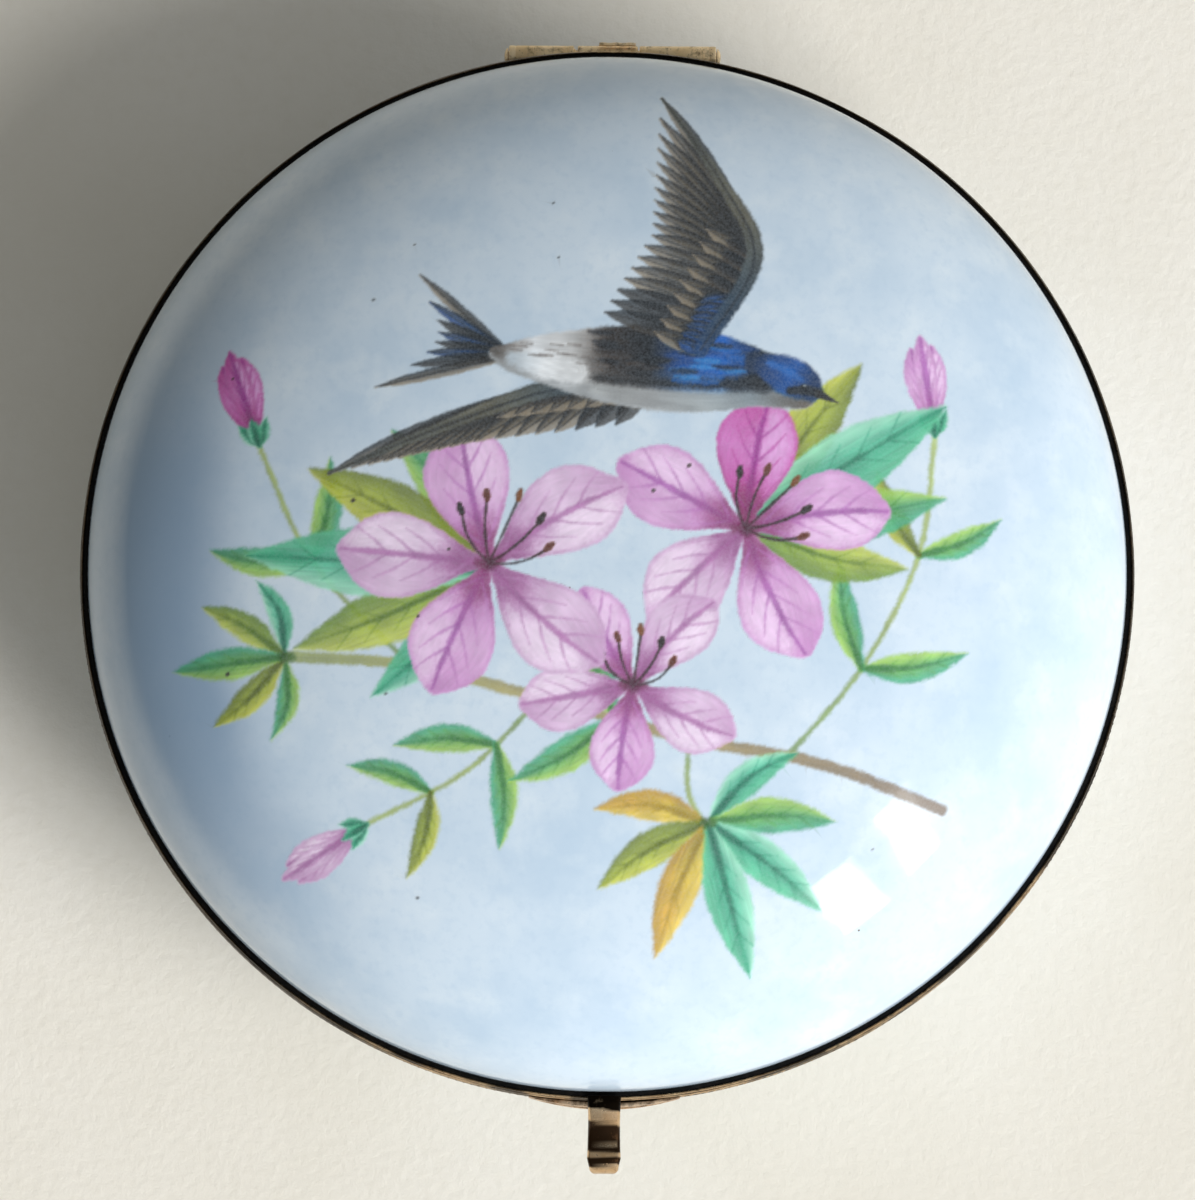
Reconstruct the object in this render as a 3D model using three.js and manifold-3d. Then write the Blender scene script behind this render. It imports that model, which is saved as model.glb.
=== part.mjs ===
// A round porcelain pill box: a domed lid and a bowl, each held in a brass bezel, with a knuckle hinge
// at the back (+Y) and an S-curved thumb-piece at the front (-Y).
// Millimetres, +Z up. The origin is the centre of the flat underside.

import * as THREE from 'three';
import { mergeVertices } from 'three/addons/utils/BufferGeometryUtils.js';
import Module from 'manifold-3d';

// Porcelain
const PORCELAIN_RADIUS = 32.5;
const PORCELAIN_WALL = 2.1;
const DOME_RISE = 13.2;
const DOME_ROUNDNESS = 2.25;
const BOWL_ROUNDNESS = 2.4;
const FOOT_RADIUS = 20;
const FOOT_HEIGHT = 0.6;
const FOOT_DRAFT = 0.25;

// The two halves meet at this height. Heights below are measured from it, up for the lid and down for the base.
const PARTING_HEIGHT = 15.5;
const SEAM = 0.05;
const FLANGE_TOP = 0.6;
const PORCELAIN_EDGE = 0.65;
const SHOULDER = 1.9;
const BEZEL_HEIGHT = 2.15;

// Brass mounts
const FIT = 0.05;
const CEMENT_WIDTH = 0.25;
const LIP_WALL = 0.2;
const SEAM_WALL = 0.45;
const CEMENT_START = 0.85;
const LID_FLANGE_RADIUS = 30.55;
const COLLAR_RADIUS = 30.2;
const COLLAR_WALL = 0.4;
const COLLAR_ABOVE = 1.35;
const COLLAR_BELOW = 2.4;

// Hinge
const HINGE_Y = 32.95;
const KNUCKLE_RADIUS = 0.65;
const KNUCKLE_BORE = 0.4;
const PIN_RADIUS = 0.34;
const PIN_HEAD_RADIUS = 0.55;
const PIN_HEAD = 0.25;
const HINGE_START = -6.4;
const KNUCKLE_LENGTHS = [4.2, 3.8, 4.8];
const KNUCKLE_GAP = 0.15;
const NOTCH_CLEARANCE = 0.1;
const PLATE_THICKNESS = 0.3;
const LID_PLATE = [0.75, 1.9];
const BASE_PLATE = [1.0, 2.1];

// Clasp
const CLASP_PLATE_HALF_WIDTH = 4.7;
const CLASP_PLATE_TIP = 0.08;
const LID_CLASP_BULGE = 0.14;
const LID_CLASP_HEIGHTS = [0.15, 1.2];
const BASE_CLASP_BULGE = 0.24;
const BASE_CLASP_HEIGHTS = [-1.05, -0.15];
const THUMB_WIDTH = 2.1;
const THUMB_THICKNESS = 0.5;
const TONGUE_WIDTH = 1.5;
const TONGUE_THICKNESS = 0.4;
const TONGUE_GAP = 0.13;
const TONGUE_BOTTOM = -1.2;
const TONGUE_TOP = 1.6;

// Distance from the box's axis and height above the parting plane, along the middle of the thumb-piece
const THUMB_PATH = [
  [32.75, 2.45],
  [33.3, 2.4],
  [34.05, 1.85],
  [34.75, 1.15],
  [35.5, 0.85],
  [36.2, 1.0],
  [36.75, 0.95],
  [37.2, 0.55],
  [37.45, 0.0],
];

// Fineness of the facets
const ROUND_SIDES = 60;
const SMALL_SIDES = 24;
const CROWN_STEPS = 11;
const CLASP_STEPS = 12;
const THUMB_STEPS = 24;

// The bezels' walls lean out from a thin lip to the seam.
const BEZEL_INNER = PORCELAIN_RADIUS + FIT + CEMENT_WIDTH + FIT;
const LIP_RADIUS = BEZEL_INNER + LIP_WALL;
const SEAM_RADIUS = BEZEL_INNER + SEAM_WALL;

const GLAZE = { color: 0xb9c9e0, roughness: 0.12, metalness: 0 };
const CEMENT = { color: 0x15110d, roughness: 0.7, metalness: 0 };
const BRASS = { color: 0xb08d57, roughness: 0.35, metalness: 1 };

const wasm = await Module();
wasm.setup();

function toSolid(geometry) {
  const bare = new THREE.BufferGeometry();
  bare.setAttribute('position', geometry.getAttribute('position'));
  bare.setIndex(geometry.getIndex());
  const merged = mergeVertices(bare, 1e-5);
  return new wasm.Manifold(new wasm.Mesh({
    numProp: 3,
    vertProperties: new Float32Array(merged.getAttribute('position').array),
    triVerts: new Uint32Array(merged.getIndex().array),
  }));
}

function toGeometry(solid) {
  const mesh = solid.getMesh();
  const geometry = new THREE.BufferGeometry();
  geometry.setAttribute('position', new THREE.BufferAttribute(mesh.vertProperties, 3));
  geometry.setIndex(new THREE.BufferAttribute(mesh.triVerts, 1));
  geometry.computeVertexNormals();
  return geometry;
}

// Turns a section, drawn as radius and height, about +Z. A section that isn't on the axis closes on itself.
function turned(section, sides = ROUND_SIDES) {
  const points = section.map(([radius, height]) => new THREE.Vector2(radius, height));
  if (THREE.ShapeUtils.area(points) < 0) points.reverse();
  const onAxis = points[0].x === 0 && points[points.length - 1].x === 0;
  if (!onAxis) points.push(points[0].clone());
  return new THREE.LatheGeometry(points, sides).rotateX(Math.PI / 2);
}

// The same turned about an axis along X, with the section drawn as radius and place along X.
function turnedAlongX(section) {
  return turned(section, SMALL_SIDES).rotateY(Math.PI / 2).translate(0, HINGE_Y, 0);
}

// A quarter of a superellipse from the radius outer at height low to the radius inner at height high.
// It starts upright and ends level.
function crownCurve(outer, inner, low, high, roundness) {
  const curve = [];
  for (let step = 0; step < CROWN_STEPS; step++) {
    const angle = (step / CROWN_STEPS) * (Math.PI / 2);
    const across = Math.cos(angle) ** (2 / roundness);
    const up = Math.sin(angle) ** (2 / roundness);
    curve.push([inner + (outer - inner) * across, low + (high - low) * up]);
  }
  curve.push([inner, high]);
  return curve;
}

// Half a section through the lid's porcelain, from the crown down outside and back up inside.
function domeSection() {
  const inside = PORCELAIN_RADIUS - PORCELAIN_WALL;
  const crown = SHOULDER + DOME_RISE;
  return [
    ...crownCurve(PORCELAIN_RADIUS, 0, SHOULDER, crown, DOME_ROUNDNESS).reverse(),
    [PORCELAIN_RADIUS, PORCELAIN_EDGE],
    [inside, PORCELAIN_EDGE],
    ...crownCurve(inside, 0, SHOULDER, crown - PORCELAIN_WALL, DOME_ROUNDNESS),
  ];
}

// Half a section through the base's porcelain, from the middle of its flat foot round to the floor inside.
function bowlSection() {
  const inside = PORCELAIN_RADIUS - PORCELAIN_WALL;
  const footTop = FOOT_RADIUS + FOOT_DRAFT;
  const belly = FOOT_HEIGHT - PARTING_HEIGHT;
  const floorRadius = FOOT_RADIUS - PORCELAIN_WALL;
  const floor = belly + PORCELAIN_WALL;
  return [
    [0, -PARTING_HEIGHT],
    [FOOT_RADIUS, -PARTING_HEIGHT],
    ...crownCurve(PORCELAIN_RADIUS, footTop, -SHOULDER, belly, BOWL_ROUNDNESS).reverse(),
    [PORCELAIN_RADIUS, -PORCELAIN_EDGE],
    [inside, -PORCELAIN_EDGE],
    ...crownCurve(inside, floorRadius, -SHOULDER, floor, BOWL_ROUNDNESS),
    [0, floor],
  ];
}

// An angle section: a flange on the parting plane and a wall round the porcelain. side is 1 for the lid, -1 below.
function bezelSection(flangeRadius, side) {
  return [
    [flangeRadius, side * SEAM],
    [SEAM_RADIUS, side * SEAM],
    [LIP_RADIUS, side * BEZEL_HEIGHT],
    [BEZEL_INNER, side * BEZEL_HEIGHT],
    [BEZEL_INNER, side * FLANGE_TOP],
    [flangeRadius, side * FLANGE_TOP],
  ];
}

function cementSection(side) {
  const inner = PORCELAIN_RADIUS + FIT;
  return [
    [inner, side * CEMENT_START],
    [inner + CEMENT_WIDTH, side * CEMENT_START],
    [inner + CEMENT_WIDTH, side * SHOULDER],
    [inner, side * SHOULDER],
  ];
}

function collarSection() {
  return [
    [COLLAR_RADIUS - COLLAR_WALL, -COLLAR_BELOW],
    [COLLAR_RADIUS, -COLLAR_BELOW],
    [COLLAR_RADIUS, COLLAR_ABOVE],
    [COLLAR_RADIUS - COLLAR_WALL, COLLAR_ABOVE],
  ];
}

// The places of the hinge's knuckles along X, as [start, end].
function knuckleSpans() {
  const spans = [];
  let start = HINGE_START;
  for (const length of KNUCKLE_LENGTHS) {
    spans.push([start, start + length]);
    start += length + KNUCKLE_GAP;
  }
  return spans;
}

function knuckle([start, end]) {
  return turnedAlongX([
    [KNUCKLE_BORE, start],
    [KNUCKLE_RADIUS, start],
    [KNUCKLE_RADIUS, end],
    [KNUCKLE_BORE, end],
  ]);
}

function pin(start, end) {
  const outerStart = start - FIT - PIN_HEAD;
  const outerEnd = end + FIT + PIN_HEAD;
  return turnedAlongX([
    [0, outerStart],
    [PIN_HEAD_RADIUS, outerStart],
    [PIN_HEAD_RADIUS, start - FIT],
    [PIN_RADIUS, start - FIT],
    [PIN_RADIUS, end + FIT],
    [PIN_HEAD_RADIUS, end + FIT],
    [PIN_HEAD_RADIUS, outerEnd],
    [0, outerEnd],
  ]);
}

// The round groove that the hinge lies in, cut out of both bezels.
function notchedForHinge(ring, start, end) {
  const reach = FIT + PIN_HEAD + KNUCKLE_GAP;
  const radius = KNUCKLE_RADIUS + NOTCH_CLEARANCE;
  const groove = turnedAlongX([
    [0, start - reach],
    [radius, start - reach],
    [radius, end + reach],
    [0, end + reach],
  ]);
  return toGeometry(toSolid(ring).subtract(toSolid(groove)));
}

// A flat leaf behind the bezel, from start to end along X, between two heights.
function hingePlate([start, end], low, high) {
  const middle = SEAM_RADIUS + FIT + PLATE_THICKNESS / 2;
  const plate = new THREE.BoxGeometry(end - start, PLATE_THICKNESS, high - low);
  return plate.translate((start + end) / 2, middle, (low + high) / 2);
}

// A crescent on the front of a bezel: its inner edge follows the bezel and its outer edge is a flatter arc.
function claspPlate(bulge, [low, high]) {
  const inner = SEAM_RADIUS + FIT;
  const spread = Math.asin(CLASP_PLATE_HALF_WIDTH / inner);
  const front = inner + bulge;
  const tipX = (inner + CLASP_PLATE_TIP) * Math.sin(spread);
  const tipY = (inner + CLASP_PLATE_TIP) * Math.cos(spread);
  const offset = (front ** 2 - tipX ** 2 - tipY ** 2) / (2 * (front - tipY));
  const outerSpread = Math.atan2(tipX, tipY - offset);
  const down = -Math.PI / 2;
  const shape = new THREE.Shape();
  shape.absarc(0, 0, inner, down + spread, down - spread, true);
  shape.absarc(0, -offset, front - offset, down - outerSpread, down + outerSpread, false);
  const solid = new THREE.ExtrudeGeometry(shape, {
    depth: high - low,
    bevelEnabled: false,
    curveSegments: CLASP_STEPS,
  });
  return solid.translate(0, 0, low);
}

// Extrudes an outline, drawn as distance from the box's axis and height, to a width across X, at the front.
function frontStrip(outline, width) {
  const shape = new THREE.Shape(outline);
  const strip = new THREE.ExtrudeGeometry(shape, { depth: width, bevelEnabled: false });
  return strip.translate(0, 0, -width / 2).rotateX(Math.PI / 2).rotateZ(-Math.PI / 2);
}

// The thumb-piece: an S-curved strip soldered over the lid's bezel, with a springy tongue down over the base's plate.
function thumbPiece() {
  const path = new THREE.SplineCurve(THUMB_PATH.map(([out, up]) => new THREE.Vector2(out, up)));
  const near = [];
  const far = [];
  for (let step = 0; step <= THUMB_STEPS; step++) {
    const point = path.getPoint(step / THUMB_STEPS);
    const ahead = path.getTangent(step / THUMB_STEPS);
    const across = new THREE.Vector2(-ahead.y, ahead.x).multiplyScalar(THUMB_THICKNESS / 2);
    near.push(point.clone().add(across));
    far.unshift(point.clone().sub(across));
  }
  const inner = SEAM_RADIUS + FIT + BASE_CLASP_BULGE + TONGUE_GAP;
  const tongue = [
    new THREE.Vector2(inner, TONGUE_BOTTOM),
    new THREE.Vector2(inner + TONGUE_THICKNESS, TONGUE_BOTTOM),
    new THREE.Vector2(inner + TONGUE_THICKNESS, TONGUE_TOP),
    new THREE.Vector2(inner, TONGUE_TOP),
  ];
  const strip = toSolid(frontStrip([...near, ...far], THUMB_WIDTH));
  return toGeometry(strip.add(toSolid(frontStrip(tongue, TONGUE_WIDTH))));
}

function piece(name, geometry, finish) {
  const mesh = new THREE.Mesh(geometry, new THREE.MeshStandardMaterial(finish));
  mesh.name = name;
  return mesh;
}

const [leftSpan, middleSpan, rightSpan] = knuckleSpans();
const hingeStart = leftSpan[0];
const hingeEnd = rightSpan[1];
const baseFlangeRadius = COLLAR_RADIUS + FIT;

const lid = new THREE.Group();
lid.add(
  piece('lid_dome', turned(domeSection()), GLAZE),
  piece('lid_cement', turned(cementSection(1)), CEMENT),
  piece('lid_bezel', notchedForHinge(turned(bezelSection(LID_FLANGE_RADIUS, 1)), hingeStart, hingeEnd), BRASS),
  piece('lid_hinge_plate', hingePlate(middleSpan, ...LID_PLATE), BRASS),
  piece('lid_knuckle', knuckle(middleSpan), BRASS),
  piece('lid_clasp_plate', claspPlate(LID_CLASP_BULGE, LID_CLASP_HEIGHTS), BRASS),
  piece('thumb_piece', thumbPiece(), BRASS),
);

const base = new THREE.Group();
base.add(
  piece('base_bowl', turned(bowlSection()), GLAZE),
  piece('base_cement', turned(cementSection(-1)), CEMENT),
  piece('base_bezel', notchedForHinge(turned(bezelSection(baseFlangeRadius, -1)), hingeStart, hingeEnd), BRASS),
  piece('base_collar', turned(collarSection()), BRASS),
  piece('base_hinge_plate', hingePlate([hingeStart, hingeEnd], -BASE_PLATE[1], -BASE_PLATE[0]), BRASS),
  piece('base_knuckle_left', knuckle(leftSpan), BRASS),
  piece('base_knuckle_right', knuckle(rightSpan), BRASS),
  piece('hinge_pin', pin(hingeStart, hingeEnd), BRASS),
  piece('base_clasp_plate', claspPlate(BASE_CLASP_BULGE, BASE_CLASP_HEIGHTS), BRASS),
);

const pillBox = new THREE.Group();
pillBox.add(lid, base);
pillBox.position.z = PARTING_HEIGHT;

export default pillBox;
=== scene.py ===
"""The looks of a round porcelain pill box: a domed lid with a painted swallow and blossoms, a plain bowl,
and their brass mounts. Lengths are in millimetres in this script, and in metres in the scene."""
import math

import bpy
import numpy as np
from mathutils import Matrix, Vector


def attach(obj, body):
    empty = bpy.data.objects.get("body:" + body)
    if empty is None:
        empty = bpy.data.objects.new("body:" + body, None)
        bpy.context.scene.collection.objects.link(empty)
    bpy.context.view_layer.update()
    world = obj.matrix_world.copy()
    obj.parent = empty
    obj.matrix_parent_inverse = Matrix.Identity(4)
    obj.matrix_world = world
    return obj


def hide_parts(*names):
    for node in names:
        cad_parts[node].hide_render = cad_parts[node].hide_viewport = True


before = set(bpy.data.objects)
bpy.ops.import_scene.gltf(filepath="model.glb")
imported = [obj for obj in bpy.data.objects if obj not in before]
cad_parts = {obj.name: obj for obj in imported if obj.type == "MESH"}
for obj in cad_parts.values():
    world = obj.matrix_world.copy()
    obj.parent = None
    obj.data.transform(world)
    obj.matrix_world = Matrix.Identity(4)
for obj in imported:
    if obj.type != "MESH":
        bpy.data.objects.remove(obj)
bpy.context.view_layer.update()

MM = 0.001

# Porcelain
PORCELAIN_RADIUS = 32.5
WALL = 2.1
DOME_RISE = 13.2
DOME_ROUNDNESS = 2.25
BOWL_ROUNDNESS = 2.4
FOOT_RADIUS = 20.0
FOOT_HEIGHT = 0.6

# The halves meet at this height. Heights below are measured from it.
PARTING = 15.5
SEAM = 0.05
FLANGE_TOP = 0.6
PORCELAIN_EDGE = 0.65
SHOULDER = 1.9
BEZEL_HEIGHT = 2.15

# Brass
BEZEL_INNER = 32.8
BEZEL_TOP = BEZEL_HEIGHT - 0.02
LIP_RADIUS = 32.94
SEAM_RADIUS = 33.02
LID_FLANGE_RADIUS = 30.55
BASE_FLANGE_RADIUS = 30.25
COLLAR_RADIUS = 30.2
COLLAR_WALL = 0.4
COLLAR_TOP = 1.35
COLLAR_BOTTOM = -2.4
THREADS = 4
THREADS_START = 0.16
THREADS_REACH = BEZEL_HEIGHT - 0.4
THREAD_DEPTH = 0.08
MILLED_THREAD = 1
MILLING = 420
MILLING_DEPTH = 0.035

# Where the bezels stay bright, from fingers rubbing them and as a painted highlight on the side towards the
# light, as a direction and a reach to each side, in degrees
LIT_AND_RUBBED_MIDDLE = -72
LIT_AND_RUBBED_REACH = 30
LIT_AND_RUBBED_FADE = 22

# Hinge. A leaf is its ends, outer face, thickness, lower edge and upper edge; the gap is a lower stretch
HINGE_Y = 32.95
KNUCKLE_RADIUS = 0.7
KNUCKLE_BORE = 0.4
KNUCKLES = ((-6.4, -2.29), (-2.05, 1.75), (1.86, 6.7))
PIN_RADIUS = 0.34
PIN_HEAD_RADIUS = 0.55
PIN_HEAD = 0.25
NOTCH_RADIUS = 0.76
FLAT_Y = 32.9
LID_LEAF = ((-0.7, 1.62), 33.76, 0.2, 0.42, 0.75)
BASE_LEAF = ((-6.4, 6.7), 33.6, 0.6, -2.1, -0.55)
LEAF_GAP = (-2.25, 1.95, -1.06)

# Clasp. A crescent is its bulge, lower edge and upper edge
CLASP_HALF_WIDTH = 4.7
CLASP_EDGE = 0.14
LID_CRESCENT = (0.42, 0.15, 1.2)
BASE_CRESCENT = (0.52, -1.05, -0.15)
THUMB_WIDTH = 2.1
THUMB_THICKNESS = 0.5
THUMB_PATH = ((32.75, 2.45), (33.3, 2.4), (34.05, 1.85), (34.75, 1.15), (35.5, 0.85), (36.2, 1.0),
              (36.75, 0.95), (37.2, 0.55), (37.45, 0.0))

# Black stretches of the thumb-piece, tarnish and painted dark reflection, from and to how far out they lie,
# and a spot between them left bright as a painted highlight
THUMB_HOLLOW = (34.2, 36.12)
THUMB_ROLL = (36.4, 36.9)
PAINTED_HIGHLIGHT_SPOT = (0.5, 35.75)

TONGUE_OUT = 33.72
TONGUE_WIDTH = 1.5
TONGUE_THICKNESS = 0.4

# The crescent of painted shade in the glaze, a darker blue inside the left edge: its middle, and how far from
# there it fades, in degrees; then the radii between which it starts and ends
PAINTED_SHADE_MIDDLE = 188
PAINTED_SHADE_ANGLES = (12, 58)
PAINTED_SHADE_START = (21.5, 27)
PAINTED_SHADE_END = (29.5, 31)

# The third glaze colour is the darker blue of the painted shade inside the lid's left edge.
GLAZE_TINT, GLAZE_CLOUD, GLAZE_PAINTED_SHADE = "c6d6e5", "b0c6db", "87a1bd"
GLAZE_PALE, GLAZE_SPECK = "dfe8ee", "6d665c"
GLAZE_GLOSS = {"Coat_Weight": 0.2, "Coat_Roughness": 0.04, "Coat_IOR": 1.5, "Specular_IOR_Level": 0.35}
GRIME, PIT = "120d08", "2a1d10"
# The last paper colour is painted shade, laid on the paper far from the box where the light falls off.
PAPER_TINT, PAPER_SHADE, PAPER_PAINTED_SHADE_FAR = "e9e6df", "dcd7cb", "b4aea1"

# Light. A direction is an azimuth from +X and a height, in degrees. A pane adds its width, height and power
SUN_POWER = 3.3
SUN_DIRECTION = (-36, 33)
PANES = ((-50.3, 37.2, 72, 205, 0.42), (-36.8, 39.3, 56, 210, 0.31))
PANE_TWIST = 55
ROOM = ((0.0, (0.21, 0.195, 0.165)), (0.5, (0.33, 0.33, 0.315)), (0.72, (0.43, 0.45, 0.46)),
        (1.0, (1.0, 1.03, 1.07)))
ROOM_DIRECTION = (-38, 8)
ROOM_POWER = 0.85
BACKDROP = "c9c5bb"

CAMERA_TARGET = (-0.60, -1.77, 17.4)
CAMERA_DISTANCE = 450
CAMERA_TILT = 5.5
CAMERA_ROLL = 0.34
CAMERA_LENS = 216.6

# The painted side of the lid: square cells, split finer where there is paint
CELLS = 96
FINE = 8


# Painting

def noise(u, v, seed):
    """Smooth random values from 0 to 1 that change over one unit of u and v, and repeat after 64."""
    table = np.random.default_rng(seed).random((64, 64))
    left, low = np.floor(u).astype(int), np.floor(v).astype(int)
    across, up = u - left, v - low
    across, up = across * across * (3 - 2 * across), up * up * (3 - 2 * up)
    here, beside, above = left % 64, (left + 1) % 64, (low + 1) % 64
    bottom = table[here, low % 64] * (1 - across) + table[beside, low % 64] * across
    top = table[here, above] * (1 - across) + table[beside, above] * across
    return bottom * (1 - up) + top * up


def colour(code):
    """The red, green and blue of a hex code, from 0 to 1."""
    return np.array([int(code[i:i + 2], 16) for i in (0, 2, 4)]) / 255


def linear(values):
    """Screen colours as the light they stand for."""
    return np.where(values < 0.04045, values / 12.92, ((values + 0.055) / 1.055) ** 2.4)


def smooth_line(points, steps=8):
    """A Catmull-Rom curve through the points, in any number of dimensions."""
    p = np.array(points, float)
    p = np.vstack([2 * p[0] - p[1], p, 2 * p[-1] - p[-2]])
    t = np.linspace(0, 1, steps, endpoint=False)[:, None]
    spans = []
    for a, b, c, d in zip(p, p[1:], p[2:], p[3:]):
        bend = (2 * a - 5 * b + 4 * c - d) * t ** 2 + (3 * b - a - 3 * c + d) * t ** 3
        spans.append(b + ((c - a) * t + bend) / 2)
    return np.vstack(spans + [p[-2:-1]])


def ramp(value, low, high):
    """0 below low, 1 above high, and smooth between."""
    t = np.clip((value - low) / (high - low), 0, 1)
    return t * t * (3 - 2 * t)


def nearest(line, x, y):
    """How far points are from a line, on which side, and at what share of its length. The line's own points'
    shares come last."""
    best = np.full(len(x), np.inf)
    side, along = np.zeros(len(x)), np.zeros(len(x))
    steps = np.diff(line[:, :2], axis=0)
    lengths = np.hypot(steps[:, 0], steps[:, 1]) + 1e-9
    starts = np.concatenate([[0], np.cumsum(lengths)])
    for (ax, ay), (sx, sy), length, start in zip(line[:, :2], steps, lengths, starts):
        dx, dy = x - ax, y - ay
        t = np.clip((dx * sx + dy * sy) / length ** 2, 0, 1)
        away = (dx - t * sx) ** 2 + (dy - t * sy) ** 2
        closer = away < best
        best[closer] = away[closer]
        side[closer] = np.sign(sx * dy - sy * dx)[closer]
        along[closer] = (start + t * length)[closer]
    return np.sqrt(best), side, along / starts[-1], starts / starts[-1]


class Enamel:
    """The painted colours on a set of points, x to the right and y towards the hinge, in millimetres."""

    def __init__(self, x, y):
        self.x, self.y = x, y
        self.ink = np.zeros((len(x), 3))
        self.cover = np.zeros(len(x))
        self.seed = 0

    def seen_from(self, x, y, heading):
        """The same layer in a frame at a place and heading in degrees, with left and right swapped."""
        turn = math.radians(heading)
        across, up = self.x - x, self.y - y
        other = Enamel(-across * math.cos(turn) - up * math.sin(turn),
                       up * math.cos(turn) - across * math.sin(turn))
        other.ink, other.cover = self.ink, self.cover
        return other

    def lay(self, rows, ink, alpha, inside=None):
        """Lays ink over what is already there, and returns the shape it makes."""
        if inside is not None:
            alpha = alpha * inside[rows]
        below = self.cover[rows] * (1 - alpha)
        total = alpha + below
        share = (alpha / np.maximum(total, 1e-6))[:, None]
        self.ink[rows] = ink * share + self.ink[rows] * (1 - share)
        self.cover[rows] = total
        shape = np.zeros(len(self.x))
        shape[rows] = alpha
        return shape

    def near(self, line, margin):
        """The points in a box round a line."""
        (left, low), (right, high) = line[:, :2].min(0) - margin, line[:, :2].max(0) + margin
        return np.flatnonzero((self.x > left) & (self.x < right) & (self.y > low) & (self.y < high))

    def edge(self, depth, x, y, soft):
        """A soft, stippled edge, from how far inside it the points are."""
        stipple = noise(x / 0.13, y / 0.13, self.seed) + noise(x / 0.5, y / 0.5, self.seed + 1) - 1
        return ramp(depth + stipple * soft * 0.3, -soft / 2, soft / 2)

    def stroke(self, path, inks, left=None, right=None, soft=0.2, strength=1.0, grain=0.12, inside=None):
        """A brush stroke through points of x, y and width. inks are its colours from start to end. It can
        turn to another colour towards its left or right, and stay inside another shape."""
        self.seed += 2
        line = smooth_line(path)
        rows = self.near(line, line[:, 2].max() / 2 + soft)
        x, y = self.x[rows], self.y[rows]
        away, side, along, places = nearest(line, x, y)
        half = np.maximum(np.interp(along, places, line[:, 2]) / 2, 0.02)
        stops = np.array([colour(i) for i in inks])
        spots = np.linspace(0, 1, len(stops))
        ink = np.stack([np.interp(along, spots, stops[:, k]) for k in range(3)], axis=1)
        across = np.clip(side * away / half, -1, 1)
        for turned, weight in ((left, across), (right, -across)):
            if turned:
                weight = ramp(weight, -0.1, 0.95)[:, None]
                ink = ink * (1 - weight) + colour(turned) * weight
        streaks = noise(across * half / 0.13 + 40, along * 9, self.seed + 500)
        blotches = noise(x / 0.9, y / 0.9, self.seed + 900)
        ink = ink * (1 + grain * (streaks + blotches - 1))[:, None]
        return self.lay(rows, ink, self.edge(half - away, x, y, soft) * strength, inside)

    def patch(self, outline, ink, soft, grain):
        """An area inside a closed outline of x and y."""
        self.seed += 2
        ring = smooth_line([outline[-1], *outline, *outline[:2]], 6)[6:-6]
        rows = self.near(ring, soft)
        x, y = self.x[rows], self.y[rows]
        away = nearest(ring, x, y)[0]
        crossings = np.zeros(len(x), int)
        for (ax, ay), (bx, by) in zip(ring, ring[1:]):
            if ay != by:
                crossings += ((ay > y) != (by > y)) & (x < ax + (y - ay) * (bx - ax) / (by - ay))
        depth = np.where(crossings % 2 == 1, away, -away)
        blotches = noise(x / 0.7, y / 0.7, self.seed + 900) + noise(x / 0.2, y / 0.2, self.seed + 950)
        mottled = colour(ink) * (1 + grain * (blotches - 1))[:, None]
        return self.lay(rows, mottled, self.edge(depth, x, y, soft))


class Blade:
    """The frame of a leaf, petal or feather: places by share of its length and distance to its left."""

    def __init__(self, root, heading, length, bend=0.0):
        angle = math.radians(heading)
        self.root = np.array(root, float)
        self.ahead = np.array([math.cos(angle), math.sin(angle)])
        self.left = np.array([-self.ahead[1], self.ahead[0]])
        self.length, self.bend = length, bend

    def at(self, share, left=0.0):
        arch = self.bend * math.sin(math.pi * share)
        return self.root + self.ahead * self.length * share + self.left * (left + arch)

    def path(self, *stops):
        """A path through stops of (share of the length, distance to the left, width)."""
        return [(*self.at(share, left), width) for share, left, width in stops]


def between(a, b, share):
    return np.array(a) * (1 - share) + np.array(b) * share


# Inks of a leaf: from its root to its tip, its left half, its right half, and its rib
MOSS = (("5c7a18", "86a026", "9aae34", "82983a"), "b4c04e", "6c8a26", "4c6a10")
FERN = (("4c8224", "64a03c", "58a25e", "44946a"), "98c054", "46a07a", "2e6e34")
TEAL = (("1e6e50", "2c9874", "3ea884", "2c9470"), "8fd0b4", "55b48c", "14624a")
OLIVE = (("627212", "8c9c12", "9eac22", "8e9a22"), "b6bc3a", "707f14", "525f0c")
OCHRE = (("969020", "bea61e", "cca024", "c4a030"), "d6bc48", "b08c1c", "927a1a")
LEAF_PALETTES = (TEAL, FERN, MOSS, OLIVE, FERN)
LEAF_SHAPE = ((0.0, 0.2), (0.12, 0.5), (0.3, 0.9), (0.5, 1.0), (0.7, 0.78), (0.87, 0.4), (1.0, 0.04))


def leaf(enamel, root, heading, length, width, palette, bend=0.0):
    inks, left, right, rib = palette
    blade = Blade(root, heading, length, bend)
    body = blade.path(*[(share, 0, width * wide) for share, wide in LEAF_SHAPE])
    shape = enamel.stroke(body, inks, left, right, soft=0.35, strength=0.94)
    for share in (0.22, 0.38, 0.54, 0.7):
        for side in (-1, 1):
            vein = blade.path((share, 0, 0.14), (share + 0.13, side * width * 0.3, 0.08))
            enamel.stroke(vein, (rib, inks[1]), soft=0.2, strength=0.45, inside=shape)
    middle = blade.path((0, 0, 0.4), (0.5, 0, 0.28), (0.95, 0, 0.1))
    enamel.stroke(middle, (rib, rib, inks[-1]), soft=0.3, strength=0.8, inside=shape)


def stem(enamel, points, inks, width=0.32):
    enamel.stroke([(x, y, width) for x, y in points], inks, soft=0.3, strength=0.85)


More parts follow.
